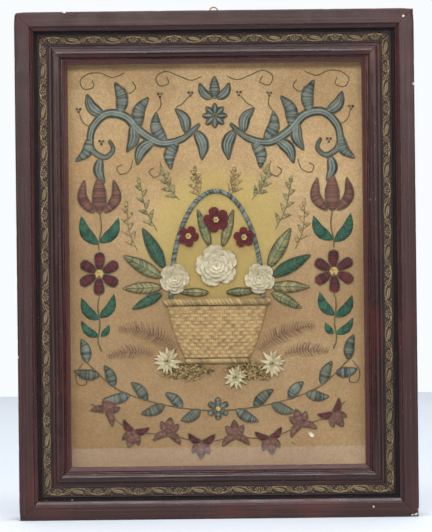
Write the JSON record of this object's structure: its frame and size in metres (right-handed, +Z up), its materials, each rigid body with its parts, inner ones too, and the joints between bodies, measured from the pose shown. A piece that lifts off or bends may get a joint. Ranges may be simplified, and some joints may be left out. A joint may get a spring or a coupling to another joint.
{
  "type": "embroidery in a glazed moulded wooden frame",
  "caption": "Flat stitched cloth with raised applied flowers, held behind glass in a deep dark moulded frame with gilt vine trim; it stands on its lower edge or hangs by a wire loop.",
  "frame": {"origin": "middle of the bottom of the bounding box, on the surface that the frame's lower edge stands on", "axes": "+Z up the frame, -Y out of the glazed front, +X to the right as seen from the front"},
  "size_m": [0.44, 0.0491, 0.569],
  "materials": {
    "stained_wood": "dark red-brown stain, satin, worn at the corners",
    "bronze_ornament": "aged bronze paint on pressed composition",
    "glass": "clear, thin, slightly dusty",
    "card": "matt",
    "ground_cloth": "browned even weave",
    "board": "bare, matt",
    "brass": "tarnished",
    "straw": "laid straw and thread",
    "teal_cord": "faded silk",
    "pressed_cream": "embossed, matt",
    "velvet": "short pile",
    "laid_thread": "laid thread",
    "dried_fern": "dried plant, matt",
    "wool_bract": "dried woolly petals",
    "moss": "dried moss, matt"
  },
  "bodies": {
    "root": {"rail_bottom": "stained_wood", "rail_right": "stained_wood", "rail_top": "stained_wood", "rail_left": "stained_wood", "ornament_bottom": "bronze_ornament", "ornament_right": "bronze_ornament", "ornament_top": "bronze_ornament", "ornament_left": "bronze_ornament", "glass_pane": "glass", "spacer_top": "card", "spacer_bottom": "card", "spacer_left": "card", "spacer_right": "card", "ground_cloth": "ground_cloth", "backing_board": "board", "hanging_ring": "brass", "hanger_strap": "brass", "hanger_tack": "brass", "basket_body": "straw", "basket_rim": "laid_thread", "basket_foot": "laid_thread", "basket_handle": "teal_cord", "palm_leaf_inner_left": "laid_thread", "palm_leaf_inner_right": "laid_thread", "palm_leaf_rim_left": "laid_thread", "palm_leaf_rim_right": "laid_thread", "palm_leaf_left_high": "laid_thread", "palm_leaf_left_upper": "laid_thread", "palm_leaf_left_lower": "laid_thread", "palm_leaf_left_low": "laid_thread", "palm_leaf_right_high": "laid_thread", "palm_leaf_right_upper": "laid_thread", "palm_leaf_right_lower": "laid_thread", "palm_leaf_right_low": "laid_thread", "fern_left_upper": "dried_fern", "fern_left_lower": "dried_fern", "fern_right_upper": "dried_fern", "fern_right_lower": "dried_fern", "moss_left": "moss", "moss_right": "moss", "rose_centre": "pressed_cream", "rose_left": "pressed_cream", "rose_right": "pressed_cream", "velvet_flower_top": "velvet", "velvet_flower_left": "velvet", "velvet_flower_right": "velvet", "edelweiss_left": "wool_bract", "edelweiss_middle": "wool_bract", "edelweiss_right": "wool_bract", "star_flower": "teal_cord"}
  },
  "joints": []
}
